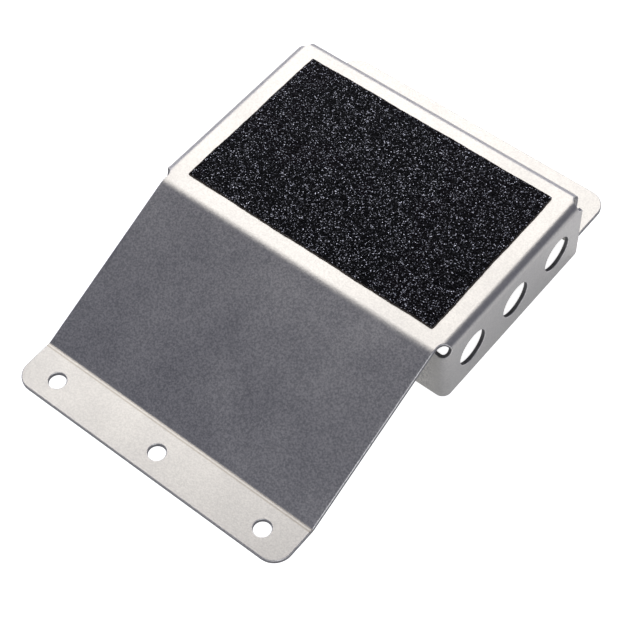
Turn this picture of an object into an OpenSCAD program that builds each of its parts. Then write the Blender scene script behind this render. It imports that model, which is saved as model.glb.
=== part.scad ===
// Bolt-on tailgate step: one folded sheet with a stuck-on grip pad.
// Origin: centre of the footprint, on the plane that both flanges bolt to.
// +X is to the right across the ramp, +Y runs from the front flange to the rear one, +Z is up.

/* [Sheet] */
// Thickness of the folded sheet
sheet_t = 2.5; // [2:0.5:3]
// Inside radius of the square folds and of the one at the foot of the ramp
fold_r = 2.5; // [2:0.5:4]
// Inside radius of the gentle fold at the top of the ramp
brow_r = 8; // [3:1:12]

/* [Platform] */
// Width over the side flanges
platform_w = 180; // [175:5:220]
// Depth from the top of the ramp to the rear wall's outer face
platform_d = 121; // [119:1:140]
// Height of the platform above the mounting plane
platform_h = 43; // [40:0.5:50]

/* [Ramp] */
// Distance of the edges of the ramp and flanges in from the platform's sides
ramp_inset = 5; // [4.5:0.5:8]
// Horizontal run of the ramp
ramp_run = 91; // [75:1:120]

/* [Mounting flanges] */
// Length of the front flange, from the foot of the ramp to its edge
front_flange = 26; // [24:1:40]
// Length of the rear flange, from the rear wall to its edge
rear_flange = 34; // [30:1:45]
// Radius of the four flange corners
corner_r = 10; // [6:1:12]
// Diameter of the bolt holes
bolt_d = 9; // [6.6:0.2:10]
// Spacing of the three bolt holes in each flange
bolt_pitch = 66; // [50:1:70]
// Distance of the front bolt holes from the front edge
front_bolt_edge = 12; // [10:0.5:14]
// Distance of the rear bolt holes from the rear edge
rear_bolt_edge = 20; // [14:0.5:22]

/* [Side flanges] */
// Diameter of the three large holes in each side flange
side_hole_d = 20; // [12:1:24]
// Spacing of the side holes
side_hole_pitch = 35.5; // [28:0.5:36]
// Distance of the first side hole behind the top of the ramp
side_hole_first = 26.5; // [25:0.5:29]
// Depth of the side holes' centres below the platform
side_hole_drop = 22.5; // [20:0.5:25]
// Gap between the rear edge of a side flange and the rear wall's outer face
side_gap = 3; // [3:0.5:6]
// Length of the return tab at the front of each side flange
tab_len = 30; // [20:1:60]
// Distance of the return tab's face behind the end of the gentle fold
tab_back = 2.3; // [2:0.1:5]
// Depth of the return tab's top edge below the platform
tab_drop = 7.5; // [6.5:0.1:10]

/* [Corner reliefs] */
// Diameter of the round relief where folds meet
relief_d = 8; // [7:0.5:9]
// Depth of the front reliefs' centres below the platform, in the side flange and tab
relief_drop_front = 6.4; // [5:0.1:8]
// Depth of the rear reliefs' centres below the platform, in the side flange
relief_drop_rear = 2.2; // [1:0.1:4]

/* [Grip pad] */
// Width of the pad
pad_w = 154; // [100:1:160]
// Depth of the pad
pad_d = 100; // [60:1:103]
// Distance of the pad behind the top of the ramp
pad_front = 10; // [5:0.5:11]
// Thickness of the adhesive film
adhesive_t = 0.2; // [0.1:0.05:0.3]
// Thickness of the carrier film
backing_t = 0.3; // [0.2:0.05:0.5]
// Thickness of the bonded grit
grit_t = 0.7; // [0.5:0.1:1]

/* [Hidden] */
$fn = 64;
eps = 0.01;                                   // overlap where two cuts or solids meet
far = 1000;                                   // reach of a cutting wedge
lap = 0.02;                                   // overlap of a flat and the fold that it runs into
hair = 0.002;                                 // a fold is this much thinner on each side, so no faces nearly coincide

outer_r = fold_r + sheet_t;                   // outside radius of a fold
mid_r = fold_r + sheet_t / 2;                 // radius of a fold at mid thickness
ramp_angle = atan((platform_h - sheet_t) / ramp_run);
total_y = front_flange + ramp_run + platform_d + rear_flange;

// Y of each region's boundary
front_y = -total_y / 2;
foot_y = front_y + front_flange;
brow_y = foot_y + ramp_run;
wall_y = brow_y + platform_d;
rear_y = wall_y + rear_flange;
side_rear_y = wall_y - side_gap;

// The gentle fold ends behind the top of the ramp, and the tab and its relief stay clear of it
mid_shift = sheet_t / 2 * tan(ramp_angle / 2);
brow_end_y = brow_y + mid_shift + (brow_r + sheet_t / 2) * tan(ramp_angle / 2);
side_front_y = brow_end_y + tab_back;
ramp_w = platform_w - 2 * ramp_inset;
ramp_x = ramp_w / 2;
relief_r = relief_d / 2;
relief_x = ramp_x + relief_r - 0.3;           // the relief just clips the ramp's edge
relief_front_y = side_front_y - 0.4;
relief_rear_y = wall_y - 3.2;

// Mid-surface of the long strip, as Y and Z, from the front flange to the rear one
strip_path = [
    [front_y, sheet_t / 2],
    [foot_y + mid_shift, sheet_t / 2],
    [brow_y + mid_shift, platform_h - sheet_t / 2],
    [wall_y - sheet_t / 2, platform_h - sheet_t / 2],
    [wall_y - sheet_t / 2, sheet_t / 2],
    [rear_y, sheet_t / 2]
];
// Radius of the fold at each of those points, at mid thickness; none at the two ends
strip_radii = [0, mid_r, brow_r + sheet_t / 2, mid_r, mid_r, 0];

function heading(a, b) = atan2(b[1] - a[1], b[0] - a[0]);

function turn(path, i) =
    let (d = heading(path[i], path[i + 1]) - heading(path[i - 1], path[i]))
    d > 180 ? d - 360 : d < -180 ? d + 360 : d;

// Distance from a path's corner to where its fold begins; none at the two ends
function fold_reach(path, radii, i) =
    i == 0 || i == len(path) - 1 ? 0 : radii[i] * tan(abs(turn(path, i)) / 2);

// One flat of a folded section, between two folds
module section_flat(path, radii, i) {
    start = fold_reach(path, radii, i) - (i > 0 ? lap : 0);
    end = norm(path[i + 1] - path[i]) - fold_reach(path, radii, i + 1)
        + (i < len(path) - 2 ? lap : 0);
    translate(path[i])
        rotate(heading(path[i], path[i + 1]))
            translate([start, -sheet_t / 2])
                square([end - start, sheet_t]);
}

// One rounded fold of a folded section: a sector of a ring
module section_fold(path, radii, i) {
    bend = turn(path, i);
    side = sign(bend);
    reach = fold_reach(path, radii, i);
    translate(path[i])
        rotate(heading(path[i - 1], path[i]))
            translate([-reach, side * radii[i]])
                intersection() {
                    difference() {
                        circle(radii[i] + sheet_t / 2 - hair);
                        circle(radii[i] - sheet_t / 2 + hair);
                    }
                    polygon([
                        [0, 0],
                        [0, -side * far],
                        [far * tan(abs(bend) / 2), -side * far],
                        [far * sin(abs(bend)), -side * far * cos(bend)]
                    ]);
                }
}

// The section of a sheet that is folded along a path
module folded_section(path, radii) {
    for (i = [0 : len(path) - 2])
        section_flat(path, radii, i);
    for (i = [1 : len(path) - 2])
        section_fold(path, radii, i);
}

// Rectangle from the X axis up to y = d, with its two far corners rounded
module round_ended(w, d, r) {
    translate([-w / 2, 0])
        square([w, d - r]);
    translate([-w / 2 + r, 0])
        square([w - 2 * r, d]);
    for (s = [-1, 1])
        translate([s * (w / 2 - r), d - r])
            circle(r);
}

// Outline that rounds the corners of both mounting flanges
module flange_outline() {
    for (s = [-1, 1])
        mirror([0, s < 0 ? 1 : 0])
            round_ended(ramp_w, total_y / 2, corner_r);
}

// Front flange, ramp, platform, rear wall and rear flange, as one folded strip
module strip() {
    intersection() {
        translate([-ramp_x, 0, 0])
            rotate([90, 0, 90])
                linear_extrude(ramp_w)
                    folded_section(strip_path, strip_radii);
        translate([0, 0, -eps])
            linear_extrude(platform_h + 2 * eps)
                flange_outline();
    }
}

// Solid tray form: square sides, rounded along its top edges and down its front corners
module tray_form(inset, r, length, base) {
    w = platform_w - 2 * inset;
    intersection() {
        translate([0, side_front_y + inset + length, 0])
            rotate([90, 0, 0])
                linear_extrude(length)
                    translate([0, base])
                        round_ended(w, platform_h - inset - base, r);
        translate([0, side_front_y + inset + length, base])
            mirror([0, 1, 0])
                linear_extrude(platform_h)
                    round_ended(w, length, r);
    }
}

// Platform edges, side flanges and the front wall that the return tabs are cut from
module side_shell() {
    length = side_rear_y - side_front_y;
    difference() {
        tray_form(0, outer_r, length, 0);
        tray_form(sheet_t, fold_r, length, -1);
    }
}

// Everything cut from the shell to leave the platform, side flanges and return tabs
module shell_cuts() {
    tab_top = platform_h - tab_drop;
    open_w = platform_w - 2 * tab_len;
    // front wall between the two tabs
    translate([-open_w / 2, side_front_y - 1, -1])
        cube([open_w, sheet_t + 2, tab_top + 1 + eps]);
    // gap above the tabs, under the strip
    translate([-ramp_x, side_front_y - 1, tab_top])
        cube([ramp_w, sheet_t + 1 + eps, tab_drop + 1]);
    // part of the top that the rear fold replaces
    translate([-ramp_x, wall_y - outer_r, platform_h - outer_r])
        cube([ramp_w, outer_r, outer_r + 1]);
}

// Three large round holes through both side flanges
module side_holes() {
    for (i = [0 : 2])
        translate([0, brow_y + side_hole_first + i * side_hole_pitch, platform_h - side_hole_drop])
            rotate([0, 90, 0])
                cylinder(h = platform_w + 2, d = side_hole_d, center = true);
}

// Round reliefs punched where the folds meet, square to each face that they pass through
module reliefs() {
    front_z = platform_h - relief_drop_front;
    rear_z = platform_h - relief_drop_rear;
    for (s = [-1, 1]) {
        // through the platform's corners
        translate([s * relief_x, relief_front_y, front_z])
            cylinder(h = relief_drop_front + 1, r = relief_r);
        translate([s * relief_x, relief_rear_y, rear_z - sheet_t])
            cylinder(h = relief_drop_rear + sheet_t + 1, r = relief_r);
        // through the top corners of the side flange
        translate([s * (ramp_x + eps), side_front_y, front_z])
            rotate([0, s * 90, 0])
                cylinder(h = outer_r, r = relief_r);
        translate([s * (ramp_x + eps), relief_rear_y, rear_z])
            rotate([0, s * 90, 0])
                cylinder(h = outer_r, r = relief_r);
        // through the return tab's top corner
        translate([s * relief_x, side_front_y + outer_r, front_z])
            rotate([90, 0, 0])
                cylinder(h = outer_r + 1, r = relief_r);
    }
}

// Three bolt holes in each mounting flange
module bolt_holes() {
    for (y = [front_y + front_bolt_edge, rear_y - rear_bolt_edge])
        for (i = [-1 : 1])
            translate([i * bolt_pitch, y, -1])
                cylinder(h = sheet_t + 2, d = bolt_d);
}

module step_plate() {
    color("gainsboro")
        difference() {
            union() {
                strip();
                difference() {
                    side_shell();
                    shell_cuts();
                }
            }
            reliefs();
            side_holes();
            bolt_holes();
        }
}

// One layer of the grip pad, from a height above the platform
module pad_layer(above, thickness) {
    translate([-pad_w / 2, brow_y + pad_front, platform_h + above])
        cube([pad_w, pad_d, thickness]);
}

module pad_adhesive() {
    color("tan")
        pad_layer(0, adhesive_t);
}

module pad_backing() {
    color("dimgray")
        pad_layer(adhesive_t, backing_t);
}

module pad_grit() {
    color("black")
        pad_layer(adhesive_t + backing_t, grit_t);
}

step_plate();
pad_adhesive();
pad_backing();
pad_grit();
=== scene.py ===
import math

import bpy
import numpy as np
from mathutils import Matrix, Vector
from mathutils.geometry import delaunay_2d_cdt


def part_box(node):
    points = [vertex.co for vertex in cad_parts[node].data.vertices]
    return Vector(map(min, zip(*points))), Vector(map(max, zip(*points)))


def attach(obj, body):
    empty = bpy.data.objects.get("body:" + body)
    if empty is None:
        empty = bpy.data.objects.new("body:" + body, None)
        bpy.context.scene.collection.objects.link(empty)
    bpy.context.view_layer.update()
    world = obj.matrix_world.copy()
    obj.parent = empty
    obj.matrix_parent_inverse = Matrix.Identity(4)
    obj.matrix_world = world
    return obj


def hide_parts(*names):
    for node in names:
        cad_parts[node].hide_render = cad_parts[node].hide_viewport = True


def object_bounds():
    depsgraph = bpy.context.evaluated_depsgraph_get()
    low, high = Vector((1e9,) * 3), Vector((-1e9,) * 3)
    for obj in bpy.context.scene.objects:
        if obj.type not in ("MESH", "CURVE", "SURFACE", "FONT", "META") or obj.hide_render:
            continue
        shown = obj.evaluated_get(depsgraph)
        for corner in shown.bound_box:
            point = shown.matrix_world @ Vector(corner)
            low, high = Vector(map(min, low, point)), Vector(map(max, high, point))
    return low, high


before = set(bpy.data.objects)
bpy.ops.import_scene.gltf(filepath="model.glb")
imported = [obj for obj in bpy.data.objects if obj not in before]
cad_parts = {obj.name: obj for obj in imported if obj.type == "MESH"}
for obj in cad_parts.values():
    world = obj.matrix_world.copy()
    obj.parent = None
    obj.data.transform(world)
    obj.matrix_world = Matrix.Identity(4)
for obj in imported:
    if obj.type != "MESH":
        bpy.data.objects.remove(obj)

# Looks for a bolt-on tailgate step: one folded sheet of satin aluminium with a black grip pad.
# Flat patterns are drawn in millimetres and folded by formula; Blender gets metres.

CAD_LOW, CAD_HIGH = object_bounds()
MM = 0.001


def box_mm(node):
    """Lowest and highest corner of a CAD node, in millimetres."""
    low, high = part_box(node)
    return np.array(low) / MM, np.array(high) / MM


# ---------------------------------------------------------------- sizes, in millimetres

PLATE_LOW, PLATE_HIGH = box_mm("step_plate")
ADHESIVE_LOW, ADHESIVE_HIGH = box_mm("pad_adhesive")
BACKING_LOW, BACKING_HIGH = box_mm("pad_backing")
GRIT_LOW, GRIT_HIGH = box_mm("pad_grit")

SHEET = 2.5                                   # thickness of the folded sheet
FOLD_R = 2.5                                  # inside radius of the tight folds
MID_R = FOLD_R + SHEET / 2                    # radius of the tight folds at mid thickness
OUTER_R = FOLD_R + SHEET                      # outside radius of the tight folds
BROW_FOLD_R = 8.0                             # inside radius of the gentle fold above the ramp
BROW_R = BROW_FOLD_R + SHEET / 2              # radius of the gentle fold at mid thickness
QUARTER = MID_R * math.pi / 2                 # flat length of a square fold
EDGE_R = 0.55                                 # rounding of the deburred cut edges

FRONT_FLANGE = 26.0                           # depth of the front flange
PAD_FRONT = 10.0                              # pad's distance behind the brow
PLATFORM = 121.0                              # depth from the brow to the rear wall's outer face
SIDE_STANDOUT = 5.0                           # how far each side flange stands out past the ramp
SIDE_GAP = 3.0                                # from the side flange's rear end to the rear wall
TAB_BACK = 4.5                                # from the brow back to the tab's front face
TAB_REACH = 30.0                              # how far the tab reaches in from the side
TAB_DROP = 2.5                                # from the end of the side fold to the tab's top

HEIGHT = PLATE_HIGH[2]
FRONT_Y = PLATE_LOW[1]
REAR_Y = PLATE_HIGH[1]
FOOT_Y = FRONT_Y + FRONT_FLANGE               # where the ramp starts
BROW_Y = ADHESIVE_LOW[1] - PAD_FRONT          # where the ramp meets the platform
WALL_Y = BROW_Y + PLATFORM                    # rear wall's outer face
RAMP_X = PLATE_HIGH[0] - SIDE_STANDOUT        # half width of the ramp and flanges
CORNER_R = 10.0                               # round corners of the flanges

SIDE_U = PLATE_HIGH[0] - OUTER_R              # flat width where the side fold starts
SIDE_END_U = SIDE_U + QUARTER + HEIGHT - OUTER_R
TAB_TOP_U = SIDE_U + QUARTER + TAB_DROP
SIDE_REAR_V = WALL_Y - SIDE_GAP - BROW_Y
TAB_V = OUTER_R + TAB_BACK                    # where the side flange folds into its tab
TAB_END_V = TAB_V - QUARTER - (TAB_REACH - OUTER_R)
TAB_CORNER_R = 1.6
SIDE_CORNER_R = 1.0
FRONT_RELIEF = (90.1, 3.4, 5.3)               # round relief at the front corner: u, v, radius
REAR_RELIEF = (88.5, WALL_Y - 3.2 - BROW_Y, 4.0)
RELIEF_BAND = 4.0                             # past this the side is folded off the platform only
FADE_FRONT_V = 4.0                            # the side fold comes in from here, beside the relief
FADE_IN = 2.0
FADE_REAR = 1.5                               # and is gone this far before the side flange's end
FADE_OUT = 2.5

BOLT_PITCH = 66.0
BOLT_R = 4.5
SIDE_HOLE_R = 10.0
SIDE_HOLE_FIRST = 26.5
SIDE_HOLE_PITCH = 35.5
SIDE_HOLE_DROP = 22.5
FRONT_BOLT = 12.0                             # front bolt holes behind the front edge
REAR_BOLT = 20.0                              # rear bolt holes ahead of the rear edge

# ---------------------------------------------------------------- mesh spacing, in millimetres

OUTLINE_STEP = 0.6
WIDEST_ROW = 2.5                              # widest spacing of the sheet's grid along the strip
WIDEST_COLUMN = 9.0                           # and across it
WIDEST_SIDE_COLUMN = 5.0                      # and down the side flanges
FOLD_STEP = 0.25                              # spacing of the rows along a fold of the strip
FOLD_ROWS = 25                                # rows across each square fold of the sides
NEAR_FOLD = 0.4                               # rows that stand close beside each fold
BESIDE_FOLD = 1.2                             # and a little further off
RIM_CLEARANCE = 0.45                          # inside points keep this far from a rim

# ---------------------------------------------------------------- chance and light

SEED = 11
FLOOR_GLOW = 0.24                             # the floor's glow, as it lights the step
FLOOR_GLOW_SEEN = 0.90                        # the same as the camera sees it
WALL_DIRECTION = (-0.66, 0.66, -0.36)         # where the pale wall stands, as seen from the step


# ---------------------------------------------------------------- folding the flat sheet

def strip_segments():
    """Flats and folds of the long strip: flat start, y, z, heading and curvature of each."""
    slope = math.atan2(HEIGHT - SHEET, BROW_Y - FOOT_Y)
    shift = SHEET / 2 * math.tan(slope / 2)
    low = SHEET / 2
    high = HEIGHT - SHEET / 2
    wall = WALL_Y - SHEET / 2
    corners = np.array([
        (FRONT_Y, low), (FOOT_Y + shift, low), (BROW_Y + shift, high),
        (wall, high), (wall, low), (REAR_Y, low),
    ])
    steps = np.diff(corners, axis=0)
    headings = np.arctan2(steps[:, 1], steps[:, 0])
    turns = np.concatenate([[0.0], np.diff(headings), [0.0]])
    radii = np.array([MID_R, MID_R, BROW_R, MID_R, MID_R, MID_R])
    reaches = radii * np.tan(np.abs(turns) / 2)
    rows = []
    start = 0.0
    for i, heading in enumerate(headings):
        direction = np.array([math.cos(heading), math.sin(heading)])
        first = corners[i] + reaches[i] * direction
        length = np.linalg.norm(steps[i]) - reaches[i] - reaches[i + 1]
        rows.append((start, first[0], first[1], heading, 0.0))
        start += length
        turn = turns[i + 1]
        if turn:
            last = first + length * direction
            rows.append((start, last[0], last[1], heading, math.copysign(1 / radii[i + 1], turn)))
            start += radii[i + 1] * abs(turn)
    return np.array(rows), start


SEGMENTS, STRIP_LENGTH = strip_segments()
PLATFORM_ROW = 4
# Flat length is counted from the brow, so that on the platform it is the distance behind the brow
STRIP_SHIFT = SEGMENTS[PLATFORM_ROW, 0] - (SEGMENTS[PLATFORM_ROW, 1] - BROW_Y)
FRONT_V = -STRIP_SHIFT
REAR_V = STRIP_LENGTH - STRIP_SHIFT
FOOT_FOLD_V = SEGMENTS[1, 0] - STRIP_SHIFT
FOOT_MARKS = (FOOT_FOLD_V - 1.3, FOOT_FOLD_V + 0.1)
FOOT_MARK_WIDTH = 0.6


def strip_place(v):
    """Mid-surface point (y, z) and upward normal (y, z) at flat length v."""
    s = v + STRIP_SHIFT
    rows = np.clip(np.searchsorted(SEGMENTS[:, 0], s, side="right") - 1, 0, len(SEGMENTS) - 1)
    start, y, z, heading, curvature = SEGMENTS[rows].T
    along = s - start
    angle = heading + curvature * along
    bent = curvature != 0
    safe = np.where(bent, curvature, 1.0)
    dy = np.where(bent, (np.sin(angle) - np.sin(heading)) / safe, along * np.cos(heading))
    dz = np.where(bent, (np.cos(heading) - np.cos(angle)) / safe, along * np.sin(heading))
    return y + dy, z + dz, -np.sin(angle), np.cos(angle)


def smoothstep(x):
    """Rises smoothly from 0 to 1 as x does, and stops there."""
    x = np.clip(x, 0.0, 1.0)
    return x * x * (3 - 2 * x)


def fold_sheet(flat):
    """Places flat points (across u, along v, above mid thickness w) on the folded step."""
    u, v, w = flat.T
    across = np.abs(u) - SIDE_U
    tray = across > RELIEF_BAND
    y, z, ny, nz = strip_place(v)
    y = np.where(tray, v + BROW_Y, y)
    z = np.where(tray, HEIGHT - SHEET / 2, z)
    ny = np.where(tray, 0.0, ny)
    nz = np.where(tray, 1.0, nz)

    # side fold; it fades out where the strip runs past the reliefs
    fade_in = smoothstep((v - FADE_FRONT_V) / FADE_IN)
    fade_out = smoothstep((SIDE_REAR_V - FADE_REAR - v) / FADE_OUT)
    fade = fade_in * fade_out
    amount = np.where(across > 0, np.where(tray, 1.0, fade), 0.0)
    turn = np.clip(across / MID_R, 0.0, math.pi / 2)
    past = np.clip(across - QUARTER, 0.0, None)
    side_x = SIDE_U + (MID_R + w) * np.sin(turn)
    side_h = (MID_R + w) * np.cos(turn) - MID_R - past
    x = np.abs(u) + amount * (side_x - np.abs(u))
    h = w + amount * (side_h - w)
    y = y + ny * h
    z = z + nz * h

    # upright fold into the return tab
    ahead = TAB_V - v
    turn = np.clip(ahead / MID_R, 0.0, math.pi / 2)
    past = np.clip(ahead - QUARTER, 0.0, None)
    tab_x = SIDE_U + (MID_R + w) * np.cos(turn) - past
    tab_y = BROW_Y + TAB_V - (MID_R + w) * np.sin(turn)
    amount = np.where(tray & (ahead > 0), smoothstep(across / QUARTER), 0.0)
    x = x + amount * (tab_x - x)
    y = y + amount * (tab_y - y)
    return np.stack([np.where(u < 0, -x, x), y, z], axis=1)


def surface_frames(place, flat):
    """Unit directions of u, v and the outer face at each flat point."""
    step = 0.004
    du = np.array([step, 0.0, 0.0])
    dv = np.array([0.0, step, 0.0])
    along_u = place(flat + du) - place(flat - du)
    along_v = place(flat + dv) - place(flat - dv)
    along_u /= np.linalg.norm(along_u, axis=1, keepdims=True)
    along_v /= np.linalg.norm(along_v, axis=1, keepdims=True)
    face = np.cross(along_u, along_v)
    face /= np.linalg.norm(face, axis=1, keepdims=True)
    return along_u, along_v, face


# ---------------------------------------------------------------- outlines of flat sheets

def arc(centre_u, centre_v, radius, start_deg, end_deg, step=0.5):
    """Points along an arc, clockwise when the end angle is the smaller."""
    count = max(3, int(abs(math.radians(end_deg - start_deg)) * radius / step) + 1)
    angles = np.radians(np.linspace(start_deg, end_deg, count))
    return np.stack([centre_u + radius * np.cos(angles), centre_v + radius * np.sin(angles)], 1)


def sheet_outline():
    """The whole flat outline, anticlockwise, sharp where two cuts meet."""
    u, v, r = FRONT_RELIEF
    front_in = 180 + math.degrees(math.acos((u - RAMP_X) / r))
    front_out = -math.degrees(math.acos((TAB_TOP_U - u) / r))
    u, v, r = REAR_RELIEF
    rear_in = math.degrees(math.asin((SIDE_REAR_V - v) / r))
    rear_out = -180 - math.degrees(math.acos((u - RAMP_X) / r))
    half = np.concatenate([
        arc(RAMP_X - CORNER_R, FRONT_V + CORNER_R, CORNER_R, -90, 0),
        arc(*FRONT_RELIEF, front_in, front_out),
        arc(TAB_TOP_U + TAB_CORNER_R, TAB_END_V + TAB_CORNER_R, TAB_CORNER_R, 180, 270),
        arc(SIDE_END_U - TAB_CORNER_R, TAB_END_V + TAB_CORNER_R, TAB_CORNER_R, -90, 0),
        arc(SIDE_END_U - SIDE_CORNER_R, SIDE_REAR_V - SIDE_CORNER_R, SIDE_CORNER_R, 0, 90),
        arc(*REAR_RELIEF, rear_in, rear_out),
        arc(RAMP_X - CORNER_R, REAR_V - CORNER_R, CORNER_R, 0, 90),
    ])
    other = half[::-1] * (-1, 1)
    return np.concatenate([half, other])


def even_loop(points, spacing, softening):
    """A closed outline sampled at an even spacing, its sharp corners eased by smoothing."""
    closed = np.vstack([points, points[:1]])
    lengths = np.concatenate([[0.0], np.cumsum(np.linalg.norm(np.diff(closed, axis=0), axis=1))])
    count = int(lengths[-1] / spacing)
    samples = np.linspace(0, lengths[-1], count, endpoint=False)
    loop = np.stack([np.interp(samples, lengths, closed[:, k]) for k in (0, 1)], 1)
    for _ in range(softening):
        loop = loop / 2 + (np.roll(loop, 1, 0) + np.roll(loop, -1, 0)) / 4
    return loop


def hole_loop(u, v, radius, step=0.45):
    """A round hole, clockwise."""
    count = int(2 * math.pi * radius / step)
    angles = -np.linspace(0, 2 * math.pi, count, endpoint=False)
    return np.stack([u + radius * np.cos(angles), v + radius * np.sin(angles)], 1)


def sheet_holes():
    """All twelve holes as (u, v, radius)."""
    front_v = FRONT_V + FRONT_BOLT
    rear_v = REAR_V - REAR_BOLT
    side_u = SIDE_U + QUARTER + SIDE_HOLE_DROP - OUTER_R
    holes = []
    for i in (-1, 0, 1):
        holes.append((i * BOLT_PITCH, front_v, BOLT_R))
        holes.append((i * BOLT_PITCH, rear_v, BOLT_R))
    for side in (-1, 1):
        for i in range(3):
            holes.append((side * side_u, SIDE_HOLE_FIRST + i * SIDE_HOLE_PITCH, SIDE_HOLE_R))
    return holes


def filled(lines, widest):
    """The sorted lines, with more lines put in wherever a gap is wider than the widest allowed."""
    lines = np.unique(np.round(lines, 4))
    out = [lines[:1]]
    for a, b in zip(lines, lines[1:]):
        count = max(1, math.ceil((b - a) / widest))
        out.append(np.linspace(a, b, count + 1)[1:])
    return np.concatenate(out)


def grid(us, vs):
    """Every crossing of two sets of lines."""
    return np.stack(np.meshgrid(us, vs), axis=-1).reshape(-1, 2)


def sheet_grid():
    """Inside points of the flat step, close together across each fold."""
    folds = []
    ends = np.append(SEGMENTS[1:, 0], STRIP_LENGTH)
    for row, end in zip(SEGMENTS, ends):
        if row[4]:
            start = row[0]
            count = math.ceil((end - start) / FOLD_STEP) + 1
            before = (start - BESIDE_FOLD, start - NEAR_FOLD)
            after = (end + NEAR_FOLD, end + BESIDE_FOLD)
            folds.append(np.linspace(start, end, count) - STRIP_SHIFT)
            folds.append(np.array(before + after) - STRIP_SHIFT)
    strip_ends = [FRONT_V, TAB_V + BESIDE_FOLD, SIDE_REAR_V, REAR_V]
    strip_v = filled(np.concatenate([strip_ends, *folds]), WIDEST_ROW)
    side_fold = SIDE_U + np.linspace(0, QUARTER, FOLD_ROWS)
    bend_u = SIDE_U + QUARTER + BESIDE_FOLD
    columns = np.concatenate([[0.0, SIDE_U - BESIDE_FOLD], side_fold, [bend_u]])
    half_u = filled(columns, WIDEST_COLUMN)
    strip_u = np.concatenate([-half_u[::-1], half_u[1:]])
    tab_fold = TAB_V - np.linspace(0, QUARTER, FOLD_ROWS)
    # the side flange shares the strip's rows, so that no triangle spans the fold between them
    shared_v = strip_v[(strip_v > TAB_V) & (strip_v <= SIDE_REAR_V)]
    tray_v = filled(np.concatenate([[TAB_END_V], tab_fold, shared_v]), WIDEST_ROW)
    tray_u = filled(np.array([bend_u + 1.0, SIDE_END_U]), WIDEST_SIDE_COLUMN)
    return np.concatenate([grid(strip_u, strip_v), grid(tray_u, tray_v), grid(-tray_u, tray_v)])


# ---------------------------------------------------------------- meshes of flat sheets

def inside(points, loop):
    """Which points lie inside a closed loop."""
    odd = np.zeros(len(points), bool)
    x, y = points.T
    for (x1, y1), (x2, y2) in zip(loop, np.roll(loop, -1, 0)):
        if y1 == y2:
            continue
        crosses = (y1 > y) != (y2 > y)
        odd ^= crosses & (x < (x2 - x1) * (y - y1) / (y2 - y1) + x1)
    return odd


def clear_of(points, loop, distance):
    """Which points keep a distance from every point of a loop."""
    clear = np.ones(len(points), bool)
    for block in range(0, len(points), 500):
        gap = points[block:block + 500, None] - loop[None]
        clear[block:block + 500] = (gap ** 2).sum(-1).min(1) > distance ** 2
    return clear


def outward(loop):
    """Unit normals that point out of the material along a loop."""
    tangent = np.roll(loop, -1, 0) - np.roll(loop, 1, 0)
    tangent /= np.linalg.norm(tangent, axis=1, keepdims=True)
    return np.stack([tangent[:, 1], -tangent[:, 0]], 1)


def edge_rings(loop, thickness, radius):
    """Rings round a rounded cut edge: flat points and flat normals, top rim to bottom rim."""
    normals = outward(loop)
    points = []
    leans = []
    angles = np.radians(np.linspace(0, 90, 5))
    for side, sweep in ((1, angles), (-1, angles[::-1])):
        for angle in sweep:
            rim = loop - normals * radius * (1 - math.sin(angle))
            w = side * (thickness / 2 - radius * (1 - math.cos(angle)))
            points.append(np.column_stack([rim, np.full(len(rim), w)]))
            lean = np.full(len(rim), side * math.cos(angle))
            leans.append(np.column_stack([normals * math.sin(angle), lean]))
    return points, leans


def triangles_between(loops, points):
    """Triangles that fill the first loop except its holes, over loop points then inside points."""
    flat = np.concatenate([*loops, points])
    edges = []
    first = 0
    for loop in loops:
        count = len(loop)
        edges += [(first + k, first + (k + 1) % count) for k in range(count)]
        first += count
    result = delaunay_2d_cdt([Vector(p) for p in flat], edges, [], 1, 1e-5)
    found, faces, sources = result[0], result[2], result[3]
    index = np.array([s[0] if s else -1 for s in sources])
    tris = np.array([f for f in faces if len(f) == 3])
    where = np.array([(p.x, p.y) for p in found])
    centres = where[tris].mean(1)
    keep = inside(centres, loops[0])
    for hole in loops[1:]:
        keep &= ~inside(centres, hole)
    tris = index[tris[keep]]
    a, b, c = (flat[tris[:, k]] for k in range(3))
    turned = (b[:, 0] - a[:, 0]) * (c[:, 1] - a[:, 1]) - (b[:, 1] - a[:, 1]) * (c[:, 0] - a[:, 0])
    tris[turned < 0] = tris[turned < 0][:, ::-1]
    return tris[np.abs(turned) > 1e-9]


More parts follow.
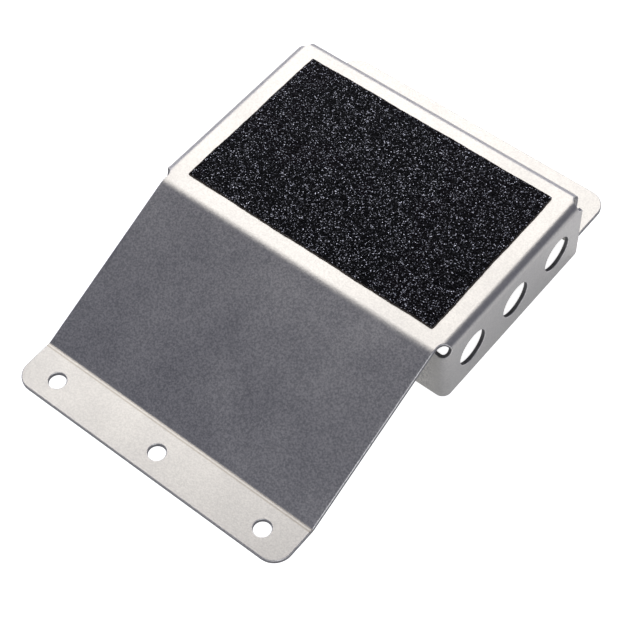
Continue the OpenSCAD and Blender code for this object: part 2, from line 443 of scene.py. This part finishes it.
def sheet_piece(name, loops, points, thickness, radius, place):
    """A closed sheet with rounded cut edges, placed by formula, with exact normals."""
    flats = []
    leans = []
    faces = []
    top_rims = []
    bottom_rims = []
    total = 0
    for loop in loops:
        ring_points, ring_leans = edge_rings(loop, thickness, radius)
        count = len(loop)
        here = np.arange(count)
        after = (here + 1) % count
        for k in range(len(ring_points) - 1):
            upper = total + k * count
            lower = upper + count
            quads = [lower + here, lower + after, upper + after, upper + here]
            faces += np.stack(quads, 1).tolist()
        top_rims.append(total + here)
        bottom_rims.append(total + (len(ring_points) - 1) * count + here)
        total += len(ring_points) * count
        flats += ring_points
        leans += ring_leans

    rings = len(edge_rings(loops[0], thickness, radius)[0])
    rims = [flats[k * rings][:, :2] for k in range(len(loops))]
    keep = inside(points, rims[0])
    keep &= clear_of(points, rims[0], RIM_CLEARANCE)
    for rim in rims[1:]:
        keep &= ~inside(points, rim)
        keep &= clear_of(points, rim, RIM_CLEARANCE)
    points = points[keep]
    tris = triangles_between(rims, points)
    for side, rim_index in ((1, top_rims), (-1, bottom_rims)):
        level = np.full(len(points), side * thickness / 2)
        flats.append(np.column_stack([points, level]))
        up = np.zeros((len(points), 3))
        up[:, 2] = side
        leans.append(up)
        index = np.concatenate([*rim_index, total + np.arange(len(points))])
        total += len(points)
        faces += index[tris[:, ::side]].tolist()

    flat = np.concatenate(flats)
    lean = np.concatenate(leans)
    along_u, along_v, face = surface_frames(place, flat)
    normals = lean[:, :1] * along_u + lean[:, 1:2] * along_v + lean[:, 2:] * face
    normals /= np.linalg.norm(normals, axis=1, keepdims=True)
    mesh = bpy.data.meshes.new(name)
    mesh.from_pydata((place(flat) * MM).tolist(), [], faces)
    mesh.polygons.foreach_set("use_smooth", np.ones(len(mesh.polygons), bool))
    mesh.normals_split_custom_set_from_vertices(normals.tolist())
    store(mesh, "flat", flat * MM)
    store(mesh, "cut", np.hypot(lean[:, 0], lean[:, 1]) ** 2)
    return new_piece(name, mesh)


def store(mesh, name, values):
    """Keeps a number or a vector for each vertex, for the material to read."""
    vector = values.ndim == 2
    attribute = mesh.attributes.new(name, "FLOAT_VECTOR" if vector else "FLOAT", "POINT")
    attribute.data.foreach_set("vector" if vector else "value", values.astype(np.float32).ravel())


def new_piece(name, mesh):
    """An object in the scene for a mesh."""
    piece = bpy.data.objects.new(name, mesh)
    bpy.context.scene.collection.objects.link(piece)
    return piece


def folded_step():
    """The folded sheet with its holes, reliefs and deburred edges."""
    outline = even_loop(sheet_outline(), OUTLINE_STEP, softening=3)
    loops = [outline] + [hole_loop(*hole) for hole in sheet_holes()]
    piece = sheet_piece("folded_step", loops, sheet_grid(), SHEET, EDGE_R, fold_sheet)
    piece.data.materials.append(satin_sheet())
    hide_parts("step_plate")
    return piece


# ---------------------------------------------------------------- grip pad

WOBBLE = np.random.default_rng(SEED).uniform(0, 2 * math.pi, (4, 4))
WOBBLE_LENGTHS = (61.0, 23.0, 7.3, 3.1)
WOBBLE_DEPTHS = (0.14, 0.08, 0.06, 0.05)


def wobble(side, t):
    """How far a hand-cut edge wanders at distance t along one of the four sides."""
    waves = zip(WOBBLE[side], WOBBLE_LENGTHS, WOBBLE_DEPTHS)
    return sum(depth * np.sin(2 * math.pi * t / length + phase) for phase, length, depth in waves)


def pad_outline(low, high, inset):
    """Hand-cut outline of one layer of the pad, anticlockwise."""
    x1, y1 = low[:2] + inset
    x2, y2 = high[:2] - inset
    t = np.arange(0, 1, 0.008)
    xs = x1 + (x2 - x1) * t
    ys = y1 + (y2 - y1) * t
    front = np.stack([xs, y1 + wobble(0, xs)], 1)
    right = np.stack([x2 + wobble(1, ys), ys], 1)
    rear = np.stack([xs[::-1], y2 + wobble(2, xs[::-1])], 1)
    left = np.stack([x1 + wobble(3, ys[::-1]), ys[::-1]], 1)
    return even_loop(np.concatenate([front, right, rear, left]), spacing=0.9, softening=1)


def film_piece(name, node, low, high, inset, material):
    """A thin film of the pad, cut by hand with the others."""
    middle = (low[2] + high[2]) / 2
    thickness = high[2] - low[2]

    def lay(flat):
        return flat + np.array([0.0, 0.0, middle])

    margin = 6
    spacing = 11.0
    edge_radius = thickness * 0.3
    loop = pad_outline(low, high, inset)
    us = np.arange(low[0] + margin, high[0], spacing)
    vs = np.arange(low[1] + margin, high[1], spacing)
    piece = sheet_piece(name, [loop], grid(us, vs), thickness, edge_radius, lay)
    piece.data.materials.append(material)
    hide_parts(node)
    return piece


def grain_relief(x, y, rng):
    """Height and a random number of the grain that covers each point: sharp tilted grains."""
    pitch = 0.62
    skew = 0.3
    left, bottom = x.min() - 2 * pitch, y.min() - 2 * pitch
    columns = int((x.max() - left) / pitch) + 4
    rows = int((y.max() - bottom) / pitch) + 4
    jitter = rng.uniform(0.05, 0.95, (rows, columns, 2))
    crown = rng.uniform(0.10, 1.0, (rows, columns)) ** 0.8
    tilt = rng.uniform(-0.55, 0.55, (rows, columns, 2))
    steep = rng.uniform(0.7, 1.9, (rows, columns))
    tone = rng.uniform(0, 1, (rows, columns))
    column = ((x - left) / pitch).astype(int)
    row = ((y - bottom) / pitch).astype(int)
    height = np.full(x.shape, -10.0)
    shade = np.zeros(x.shape)
    for dr in (-1, 0, 1):
        for dc in (-1, 0, 1):
            r, c = row + dr, column + dc
            dx = x - (left + (c + jitter[r, c, 0]) * pitch)
            dy = y - (bottom + (r + jitter[r, c, 1]) * pitch)
            away = np.maximum(np.abs(dx + skew * dy), np.abs(dy - skew * dx))
            h = crown[r, c] - steep[r, c] * away + tilt[r, c, 0] * dx + tilt[r, c, 1] * dy
            shade = np.where(h > height, tone[r, c], shade)
            height = np.maximum(height, h)
    return height, shade


def grit_piece():
    """The bonded grit: a closed slab with sharp grains on top and ragged hand-cut sides."""
    rng = np.random.default_rng(SEED + 1)
    inset = 0.35
    columns = 344
    rows = 224
    s, t = np.meshgrid(np.linspace(0, 1, columns), np.linspace(0, 1, rows))
    x1, y1 = GRIT_LOW[:2] + inset
    x2, y2 = GRIT_HIGH[:2] - inset
    x = x1 + (x2 - x1) * s
    y = y1 + (y2 - y1) * t
    near = 24                                 # a high power keeps the wobble beside the edge
    jog = 0.15                                # how far each point is moved at random
    x = x + wobble(1, y) * s ** near + wobble(3, y) * (1 - s) ** near
    y = y + wobble(2, x) * t ** near + wobble(0, x) * (1 - t) ** near
    edge = (s == 0) | (s == 1) | (t == 0) | (t == 1)
    loose = np.where(edge, 0.0, jog)
    x = x + rng.uniform(-1, 1, x.shape) * loose
    y = y + rng.uniform(-1, 1, x.shape) * loose
    ragged = rng.uniform(-0.50, 0.12, x.shape)
    x = x + np.where(s == 0, -ragged, 0) + np.where(s == 1, ragged, 0)
    y = y + np.where(t == 0, -ragged, 0) + np.where(t == 1, ragged, 0)
    height, shade = grain_relief(x, y, rng)
    depth = GRIT_HIGH[2] - GRIT_LOW[2]
    relief = np.clip(0.16 + 0.42 * height, 0.05, 0.99)
    relief = np.where(edge, relief * 0.55, relief)
    z = GRIT_LOW[2] + depth * relief
    top = np.stack([x, y, z], -1).reshape(-1, 3)
    index = np.arange(columns * rows).reshape(rows, columns)
    a, b = index[:-1, :-1], index[:-1, 1:]
    c, d = index[1:, 1:], index[1:, :-1]
    faces = np.stack([a, b, c, d], -1).reshape(-1, 4).tolist()
    rim = np.concatenate([index[0, :-1], index[:-1, -1], index[-1, :0:-1], index[:0:-1, 0]])
    foot = top[rim]
    foot[:, 2] = GRIT_LOW[2]
    under = len(top) + np.arange(len(rim))
    after = np.roll(np.arange(len(rim)), -1)
    faces += np.stack([under, under[after], rim[after], rim], 1).tolist()
    faces.append(under[::-1].tolist())
    mesh = bpy.data.meshes.new("pad_grit_grains")
    mesh.from_pydata((np.vstack([top, foot]) * MM).tolist(), [], faces)
    mesh.polygons.foreach_set("use_smooth", np.zeros(len(mesh.polygons), bool))
    store(mesh, "grain", np.concatenate([shade.ravel(), shade.ravel()[rim]]))
    store(mesh, "edge", np.concatenate([edge.ravel() * 1.0, np.ones(len(rim))]))
    piece = new_piece("pad_grit_grains", mesh)
    piece.data.materials.append(black_grit())
    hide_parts("pad_grit")
    return piece


def grip_pad():
    """The stuck-on pad: adhesive, carrier film and grit."""
    glue = film_piece(
        "pad_adhesive_film", "pad_adhesive", ADHESIVE_LOW, ADHESIVE_HIGH, 0.15, glue_film()
    )
    carrier = film_piece(
        "pad_carrier_film", "pad_backing", BACKING_LOW, BACKING_HIGH, 0.2, carrier_film()
    )
    return [glue, carrier, grit_piece()]


# ---------------------------------------------------------------- materials

class Nodes:
    """Short calls for building one material's nodes."""

    def __init__(self, name):
        self.material = bpy.data.materials.new(name)
        self.material.use_nodes = True
        self.tree = self.material.node_tree
        self.shader = self.tree.nodes["Principled BSDF"]

    def link(self, source, target):
        self.tree.links.new(source, target)

    def put(self, kind, inputs=None, **settings):
        """A node, with its settings and its inputs given as numbers or as sockets to link."""
        node = self.tree.nodes.new(kind)
        for key, value in settings.items():
            setattr(node, key, value)
        for key, value in (inputs or {}).items():
            if isinstance(value, bpy.types.NodeSocket):
                self.link(value, node.inputs[key])
            else:
                node.inputs[key].default_value = value
        return node

    def attribute(self, name, output="Fac"):
        return self.put("ShaderNodeAttribute", attribute_name=name).outputs[output]

    def noise(self, vector, scale, detail=2.0, roughness=0.5, stretch=None):
        """Noise from 0 to 1; the scale is in cells per metre, and stretch squeezes each axis."""
        if stretch:
            vector = self.put("ShaderNodeMapping", {"Vector": vector, "Scale": stretch}).outputs[0]
        inputs = {"Vector": vector, "Scale": scale, "Detail": detail, "Roughness": roughness}
        return self.put("ShaderNodeTexNoise", inputs).outputs["Fac"]

    def ramp(self, value, low, high, to_low=0.0, to_high=1.0):
        """Moves a value from the range low..high to the range to_low..to_high, and stops there."""
        inputs = {"Value": value, 1: low, 2: high, 3: to_low, 4: to_high}
        return self.put("ShaderNodeMapRange", inputs).outputs[0]

    def math(self, operation, a, b=0.0, clamp=False):
        return self.put(
            "ShaderNodeMath", {0: a, 1: b}, operation=operation, use_clamp=clamp
        ).outputs[0]

    def mix(self, factor, a, b):
        """Mixes two colours."""
        node = self.put("ShaderNodeMix", {0: factor, 6: a, 7: b}, data_type="RGBA")
        return node.outputs[2]

    def bump(self, height, strength, distance, normal=None):
        inputs = {"Height": height, "Strength": strength, "Distance": distance}
        if normal:
            inputs["Normal"] = normal
        return self.put("ShaderNodeBump", inputs).outputs[0]

    def set(self, **values):
        """Sets the shader's own sockets; names use _ for a space."""
        for key, value in values.items():
            socket = self.shader.inputs[key.replace("_", " ")]
            if isinstance(value, bpy.types.NodeSocket):
                self.link(value, socket)
            else:
                socket.default_value = value


def satin_sheet():
    """Satin aluminium: fine mottle, faint rolling grain, scuffs, rims lightened by a painted
    highlight and by wear, and darker grey cut faces.
    """
    n = Nodes("satin_sheet")
    flat = n.attribute("flat", "Vector")
    cut = n.attribute("cut")
    mottle = n.noise(flat, 1100.0, 2.0, 0.6)
    cloud = n.noise(flat, 28.0, 3.0, 0.55)
    grain = n.noise(flat, 1400.0, 2.0, 0.5, (1.0, 0.12, 1.0))
    speckle = n.noise(flat, 2300.0, 1.0, 0.5)

    # face colour: a little lighter and darker from place to place
    tone = n.math("ADD", n.ramp(mottle, 0.36, 0.64, -0.7, 0.7), n.ramp(cloud, 0.3, 0.7, -0.2, 0.2))
    # the ramp keeps a coarser grain than the flats that were rubbed down
    along = n.put("ShaderNodeSeparateXYZ", {0: flat}).outputs["Y"]
    above_foot = n.ramp(along, FOOT_FOLD_V * MM, (FOOT_FOLD_V + 3.0) * MM)
    below_brow = n.ramp(along, -3.0 * MM, 1.0 * MM, 1.0, 0.0)
    on_ramp = n.math("MULTIPLY", above_foot, below_brow)
    tone = n.math("MULTIPLY", tone, n.math("ADD", n.math("MULTIPLY", on_ramp, 2.6), 1.0))
    shade = n.ramp(tone, -3.2, 3.2)
    face = n.mix(shade, (0.335, 0.33, 0.325, 1), (0.65, 0.635, 0.60, 1))
    # cut edges: darker, streaked through the thickness, with a lighter rim on each side that is
    # partly a painted highlight and partly wear
    streaks = n.noise(flat, 700.0, 2.0, 0.6, (1.0, 1.0, 0.12))
    dark_streaked_cut = n.mix(streaks, (0.12, 0.12, 0.13, 1), (0.28, 0.28, 0.285, 1))
    rim = n.math("MULTIPLY", n.ramp(cut, 0.02, 0.3), n.ramp(cut, 0.55, 0.95, 1.0, 0.0))
    # painted highlight: the rounded rims get a lighter base colour, standing in partly for light
    # caught on the rim and partly for wear
    rim_highlight_and_wear = n.math("MULTIPLY", rim, n.ramp(mottle, 0.25, 0.6))
    colour = n.mix(n.ramp(cut, 0.6, 1.0), face, dark_streaked_cut)
    colour = n.mix(rim_highlight_and_wear, colour, (0.80, 0.79, 0.77, 1))
    # two warm dark lines are coloured along the fold at the foot of the ramp
    for line in FOOT_MARKS:
        away = n.math("ABSOLUTE", n.math("SUBTRACT", along, line * MM))
        mark = n.ramp(away, 0.0, FOOT_MARK_WIDTH * MM, 0.6, 0.0)
        colour = n.mix(mark, colour, (0.24, 0.20, 0.145, 1))
    n.set(Base_Color=colour, Metallic=1.0)

    rough = n.math("ADD", n.ramp(speckle, 0.3, 0.7, 0.33, 0.43), n.ramp(cloud, 0.3, 0.7, -0.03, 0.03))
    rough = n.math("ADD", rough, n.ramp(cut, 0.6, 1.0, 0.0, 0.1))
    n.set(Roughness=rough)

    height = n.math("ADD", n.math("MULTIPLY", mottle, 0.7), n.math("MULTIPLY", grain, 0.3))
    normal = n.bump(height, 0.6, 0.00008)
    normal = n.bump(streaks, n.ramp(cut, 0.5, 1.0, 0.0, 0.5), 0.0001, normal)
    n.set(Normal=normal)
    return n.material


def black_grit():
    """Black abrasive grains: most facets stay black, a few catch the light; cut sides turn brown."""
    n = Nodes("black_grit")
    grain = n.attribute("grain")
    edge = n.attribute("edge")
    place = n.put("ShaderNodeTexCoord").outputs["Object"]
    fine = n.noise(place, 2600.0, 2.0, 0.6)
    facets = n.put("ShaderNodeTexVoronoi", {"Vector": place, "Scale": 2400.0})
    facet = n.put("ShaderNodeSeparateColor", {0: facets.outputs["Color"]})
    # few facets are bright: a high power of an even random number
    shine = n.math("POWER", facet.outputs[0], 24.0)
    shine = n.math("MULTIPLY", shine, n.ramp(grain, 0.0, 1.0, 0.35, 1.0))
    mineral = n.mix(shine, (0.002, 0.002, 0.0024, 1), (0.56, 0.58, 0.68, 1))
    brown = n.mix(n.ramp(fine, 0.3, 0.7), (0.010, 0.007, 0.005, 1), (0.045, 0.032, 0.022, 1))
    n.set(Base_Color=n.mix(edge, mineral, brown))
    n.set(Metallic=n.ramp(edge, 0.2, 0.8, 1.0, 0.0))
    n.set(Roughness=n.ramp(facet.outputs[1], 0.0, 1.0, 0.2, 0.5))
    n.set(Normal=n.bump(fine, 0.5, 0.0002))
    n.shader.inputs["IOR"].default_value = 1.25
    return n.material


def film(name, low_colour, high_colour, roughness):
    """A thin film with a blotchy cut edge."""
    n = Nodes(name)
    flat = n.attribute("flat", "Vector")
    blotch = n.noise(flat, 420.0, 3.0, 0.6)
    fibre = n.noise(flat, 1500.0, 2.0, 0.5, (1.0, 1.0, 0.2))
    n.set(Base_Color=n.mix(n.ramp(blotch, 0.3, 0.7), low_colour, high_colour))
    n.set(Roughness=n.ramp(blotch, 0.3, 0.7, roughness - 0.1, roughness + 0.1))
    n.set(Normal=n.bump(fibre, 0.3, 0.0001))
    return n.material


def glue_film():
    return film("glue_film", (0.045, 0.034, 0.022, 1), (0.12, 0.09, 0.06, 1), 0.45)


def carrier_film():
    return film("carrier_film", (0.012, 0.009, 0.007, 1), (0.05, 0.036, 0.025, 1), 0.55)


# ---------------------------------------------------------------- stage, lights and camera

def pale_floor():
    """A plain white floor under the step, lit through from below like a light table."""
    half = 4.0
    below_part = 0.0005
    corners = [(-half, -half, 0), (half, -half, 0), (half, half, 0), (-half, half, 0)]
    mesh = bpy.data.meshes.new("floor")
    mesh.from_pydata(corners, [], [(0, 1, 2, 3)])
    floor = new_piece("floor", mesh)
    floor.location.z = CAD_LOW.z - below_part
    n = Nodes("pale_floor")
    n.set(Base_Color=(0.9, 0.9, 0.9, 1), Roughness=0.9)
    # one even glow all over; the camera sees more of it, so that the floor comes out white
    seen = n.put("ShaderNodeLightPath").outputs["Is Camera Ray"]
    glow = n.ramp(seen, 0.0, 1.0, FLOOR_GLOW, FLOOR_GLOW_SEEN)
    n.set(Emission_Color=(1.0, 1.0, 1.0, 1), Emission_Strength=glow)
    mesh.materials.append(n.material)


def softbox(name, middle, size, radiance, colour):
    """A rectangular light, facing down until it is turned."""
    width, depth = size
    light = bpy.data.lights.new(name, "AREA")
    light.shape = "RECTANGLE"
    light.size = width
    light.size_y = depth
    light.energy = radiance * math.pi * width * depth
    light.color = colour
    lamp = bpy.data.objects.new(name, light)
    lamp.location = middle
    bpy.context.scene.collection.objects.link(lamp)
    return lamp


def soft_surroundings():
    """A dim cool room for reflections, and white behind everything the camera sees."""
    world = bpy.data.worlds.new("studio")
    world.use_nodes = True
    nodes = world.node_tree.nodes
    links = world.node_tree.links
    # a pale wall stands low down behind the step's left corner
    direction = nodes.new("ShaderNodeTexCoord").outputs["Generated"]
    towards = nodes.new("ShaderNodeVectorMath")
    towards.operation = "DOT_PRODUCT"
    towards.inputs[1].default_value = WALL_DIRECTION
    links.new(direction, towards.inputs[0])
    wall = nodes.new("ShaderNodeMapRange")
    wall.interpolation_type = "SMOOTHSTEP"
    wall.inputs["From Min"].default_value = 0.15
    wall.inputs["From Max"].default_value = 0.55
    wall.inputs["To Min"].default_value = 0.25
    wall.inputs["To Max"].default_value = 0.75
    links.new(towards.outputs["Value"], wall.inputs["Value"])
    room = nodes["Background"]
    room.inputs["Color"].default_value = (0.77, 0.79, 1.0, 1)
    links.new(wall.outputs["Result"], room.inputs["Strength"])
    white = nodes.new("ShaderNodeBackground")
    white.inputs["Color"].default_value = (1.0, 1.0, 1.0, 1)
    white.inputs["Strength"].default_value = 1.0
    path = nodes.new("ShaderNodeLightPath")
    mix = nodes.new("ShaderNodeMixShader")
    links.new(path.outputs["Is Camera Ray"], mix.inputs[0])
    links.new(room.outputs[0], mix.inputs[1])
    links.new(white.outputs[0], mix.inputs[2])
    links.new(mix.outputs[0], nodes["World Output"].inputs["Surface"])
    bpy.context.scene.world = world


def lights():
    """A large warm key behind the left corner, a small cool fill in front, and the room."""
    key = softbox(
        "key_softbox", middle=(-0.60, 0.80, 1.0), size=(1.20, 1.24),
        radiance=2.42, colour=(1.0, 0.965, 0.905),
    )
    key_turn = 42
    key.rotation_euler = (0, 0, math.radians(key_turn))
    fill = softbox(
        "fill_softbox", middle=(0.80, -0.60, 1.0), size=(0.7, 0.7),
        radiance=3.0, colour=(0.97, 0.98, 1.0),
    )
    step_middle = Vector((0, 0, 0.02))
    aim = step_middle - fill.location
    fill.rotation_euler = aim.to_track_quat("-Z", "Y").to_euler()
    soft_surroundings()


def camera():
    """The photograph's viewpoint, as an aim point near the middle, a direction and a distance."""
    azimuth = math.radians(41.123)
    elevation = math.radians(55.311)
    roll = math.radians(-2.616)
    distance = 0.88145
    aim_offset = Vector((0.01388, -0.01667, -0.01501))
    middle = (CAD_LOW + CAD_HIGH) / 2
    aim = middle + aim_offset
    level = math.cos(elevation)
    forward = Vector((
        -math.sin(azimuth) * level, math.cos(azimuth) * level, -math.sin(elevation)
    ))
    right = Vector((math.cos(azimuth), math.sin(azimuth), 0.0))
    up = right.cross(forward)
    rolled_right = right * math.cos(roll) + up * math.sin(roll)
    rolled_up = up * math.cos(roll) - right * math.sin(roll)
    turn = Matrix((rolled_right, rolled_up, -forward)).transposed()
    data = bpy.data.cameras.new("camera")
    data.sensor_width = 36.0
    data.lens = 99.20
    data.clip_start = 0.05
    data.clip_end = 20.0
    eye = bpy.data.objects.new("camera", data)
    eye.matrix_world = Matrix.Translation(aim - forward * distance) @ turn.to_4x4()
    bpy.context.scene.collection.objects.link(eye)
    bpy.context.scene.camera = eye


def main():
    camera()
    lights()
    pale_floor()
    for piece in [folded_step(), *grip_pad()]:
        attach(piece, "root")
    bpy.context.scene.view_settings.view_transform = "Standard"


main()
